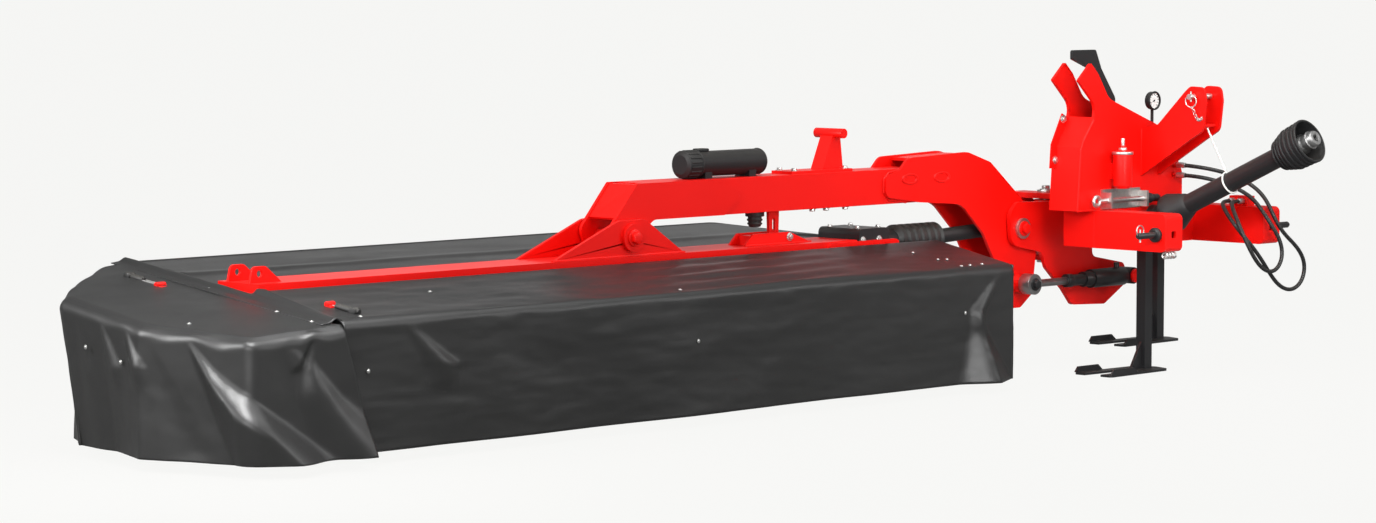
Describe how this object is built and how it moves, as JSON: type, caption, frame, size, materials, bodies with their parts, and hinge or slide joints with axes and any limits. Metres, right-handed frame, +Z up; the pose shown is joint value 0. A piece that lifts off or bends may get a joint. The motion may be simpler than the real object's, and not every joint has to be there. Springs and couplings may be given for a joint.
{
  "type": "rear-mounted disc mower",
  "caption": "Rear-mounted disc mower on its parking stand: hitch headstock, folding arm and a centre-hung cutter bar with spinning discs under tarpaulin covers.",
  "frame": {"origin": "on the floor under the middle of the part's box", "axes": "+X along the cutter bar towards the hitch, +Y to the rear of the mower, +Z up"},
  "size_m": [5.9525, 2.0287, 1.43],
  "materials": {
    "red_paint": "glossy powder coat",
    "black_paint": "satin black paint",
    "zinc": "galvanised",
    "steel": "machined steel",
    "pvc_cloth": "satin coated tarpaulin",
    "black_plastic": "moulded plastic",
    "rubber": "black rubber",
    "white_cord": "twisted cord"
  },
  "bodies": {
    "headstock": {"cross_beam": "red_paint", "hitch_arms": "red_paint", "hitch_pins": "black_paint", "mast": "red_paint", "clevis_plates": "red_paint", "top_pin": "zinc", "hinge_lugs": "red_paint", "hinge_pins": "zinc", "head_gearbox": "black_paint", "accumulator": "red_paint", "gauge": "black_plastic", "release_rod": "zinc", "transport_latch": "black_paint", "input_guard": "black_plastic", "pto_guard": "black_plastic", "pto_sling": "white_cord", "hoses": "rubber", "stand_socket": "black_paint"},
    "stand": {"stand": "black_paint"},
    "pto_yoke": {"pto_yoke": "steel"},
    "console": {"console_plates": "red_paint", "console_webs": "red_paint", "fold_pins": "zinc", "joint_stub": "black_plastic"},
    "lift_barrel": {"lift_barrel": "black_paint"},
    "lift_rod": {"lift_rod": "steel"},
    "arm": {"arm_tube": "red_paint", "arm_fork": "red_paint", "arm_neck": "red_paint", "rest_post": "red_paint", "document_tube": "black_plastic"},
    "drive_shaft": {"drive_shaft": "black_plastic"},
    "bar": {"frame_beam": "red_paint", "bar_hangers": "red_paint", "pivot_bracket": "red_paint", "pivot_pin": "red_paint", "bar_gearbox": "black_paint", "drive_boot": "rubber", "cutter_bar": "red_paint", "shoes": "steel", "roll_stop": "red_paint", "cover_frame": "black_paint", "rear_top": "pvc_cloth", "rear_curtain": "pvc_cloth"},
    "front_flap": {"front_frame": "black_paint", "front_top": "pvc_cloth", "inner_curtain": "pvc_cloth"},
    "front_curtain": {"front_curtain": "pvc_cloth"},
    "end_flap": {"end_frame": "black_paint", "end_top": "pvc_cloth", "end_curtain": "pvc_cloth"},
    "disc_1": {"disc_1": "red_paint"},
    "disc_2": {"disc_2": "red_paint"},
    "disc_3": {"disc_3": "red_paint"},
    "disc_4": {"disc_4": "red_paint"},
    "disc_5": {"disc_5": "red_paint"},
    "disc_6": {"disc_6": "red_paint"},
    "disc_7": {"disc_7": "red_paint"},
    "disc_8": {"disc_8": "red_paint"},
    "disc_9": {"disc_9": "red_paint"}
  },
  "joints": [
    {"name": "stand_slide", "type": "slide", "parent": "headstock", "child": "stand", "axis": [0, 0, 1], "range_m": [0, 0.12]},
    {"name": "pto_spin", "type": "hinge", "parent": "headstock", "child": "pto_yoke", "pos_m": [2.43375, -0.17894, 0.68], "axis": [0, -0.9063, 0.4226], "continuous": true},
    {"name": "breakaway", "type": "hinge", "parent": "headstock", "child": "console", "pos_m": [2.25875, 0.36106, 0.633], "axis": [0, 0, 1], "range_deg": [-18, 0]},
    {"name": "arm_fold", "type": "hinge", "parent": "console", "child": "arm", "pos_m": [1.95375, 0.36106, 0.633], "axis": [0, 1, 0], "range_deg": [-6, 82]},
    {"name": "lift_barrel_swing", "type": "hinge", "parent": "console", "child": "lift_barrel", "pos_m": [2.64375, 0.18606, 0.388], "axis": [0, 1, 0], "range_deg": [-1.5, 12]},
    {"name": "lift_rod_slide", "type": "slide", "parent": "lift_barrel", "child": "lift_rod", "axis": [-1, 0, 0], "range_m": [-0.03, 0.31]},
    {"name": "bar_roll", "type": "hinge", "parent": "arm", "child": "bar", "pos_m": [-0.46625, 0.36106, 0.712], "axis": [0, 1, 0], "range_deg": [-1, 3]},
    {"name": "drive_shaft_swing", "type": "hinge", "parent": "arm", "child": "drive_shaft", "pos_m": [1.95375, 0.36106, 0.633], "axis": [0, 1, 0], "range_deg": [-14, 5.4]},
    {"name": "front_flap_lift", "type": "hinge", "parent": "bar", "child": "front_flap", "pos_m": [-0.46625, 0.19906, 0.593], "axis": [1, 0, 0], "range_deg": [-75, 0]},
    {"name": "front_curtain_hang", "type": "hinge", "parent": "front_flap", "child": "front_curtain", "pos_m": [-0.46625, -0.23894, 0.525], "axis": [1, 0, 0], "range_deg": [0, 75]},
    {"name": "end_flap_lift", "type": "hinge", "parent": "bar", "child": "end_flap", "pos_m": [-2.42625, -0.23673, 0.50714], "axis": [0, 0.9924, 0.1231], "range_deg": [0, 85]},
    {"name": "disc_1_spin", "type": "hinge", "parent": "bar", "child": "disc_1", "pos_m": [0.97375, 0.31106, 0.1], "axis": [0, 0, 1], "continuous": true},
    {"name": "disc_2_spin", "type": "hinge", "parent": "bar", "child": "disc_2", "pos_m": [0.56175, 0.31106, 0.1], "axis": [0, 0, 1], "continuous": true},
    {"name": "disc_3_spin", "type": "hinge", "parent": "bar", "child": "disc_3", "pos_m": [0.14975, 0.31106, 0.1], "axis": [0, 0, 1], "continuous": true},
    {"name": "disc_4_spin", "type": "hinge", "parent": "bar", "child": "disc_4", "pos_m": [-0.26225, 0.31106, 0.1], "axis": [0, 0, 1], "continuous": true},
    {"name": "disc_5_spin", "type": "hinge", "parent": "bar", "child": "disc_5", "pos_m": [-0.67425, 0.31106, 0.1], "axis": [0, 0, 1], "continuous": true},
    {"name": "disc_6_spin", "type": "hinge", "parent": "bar", "child": "disc_6", "pos_m": [-1.08625, 0.31106, 0.1], "axis": [0, 0, 1], "continuous": true},
    {"name": "disc_7_spin", "type": "hinge", "parent": "bar", "child": "disc_7", "pos_m": [-1.49825, 0.31106, 0.1], "axis": [0, 0, 1], "continuous": true},
    {"name": "disc_8_spin", "type": "hinge", "parent": "bar", "child": "disc_8", "pos_m": [-1.91025, 0.31106, 0.1], "axis": [0, 0, 1], "continuous": true},
    {"name": "disc_9_spin", "type": "hinge", "parent": "bar", "child": "disc_9", "pos_m": [-2.32225, 0.31106, 0.1], "axis": [0, 0, 1], "continuous": true}
  ],
  "couplings": [
    {"joint": "lift_barrel_swing", "follows": "arm_fold", "ratio": 0.1375},
    {"joint": "lift_rod_slide", "follows": "arm_fold", "m_per_rad": 0.2031},
    {"joint": "drive_shaft_swing", "follows": "bar_roll", "ratio": -4.2},
    {"joint": "front_curtain_hang", "follows": "front_flap_lift", "ratio": -1},
    {"joint": "disc_2_spin", "follows": "disc_1_spin", "ratio": -1},
    {"joint": "disc_3_spin", "follows": "disc_1_spin", "ratio": 1},
    {"joint": "disc_4_spin", "follows": "disc_1_spin", "ratio": -1},
    {"joint": "disc_5_spin", "follows": "disc_1_spin", "ratio": 1},
    {"joint": "disc_6_spin", "follows": "disc_1_spin", "ratio": -1},
    {"joint": "disc_7_spin", "follows": "disc_1_spin", "ratio": 1},
    {"joint": "disc_8_spin", "follows": "disc_1_spin", "ratio": -1},
    {"joint": "disc_9_spin", "follows": "disc_1_spin", "ratio": 1}
  ]
}
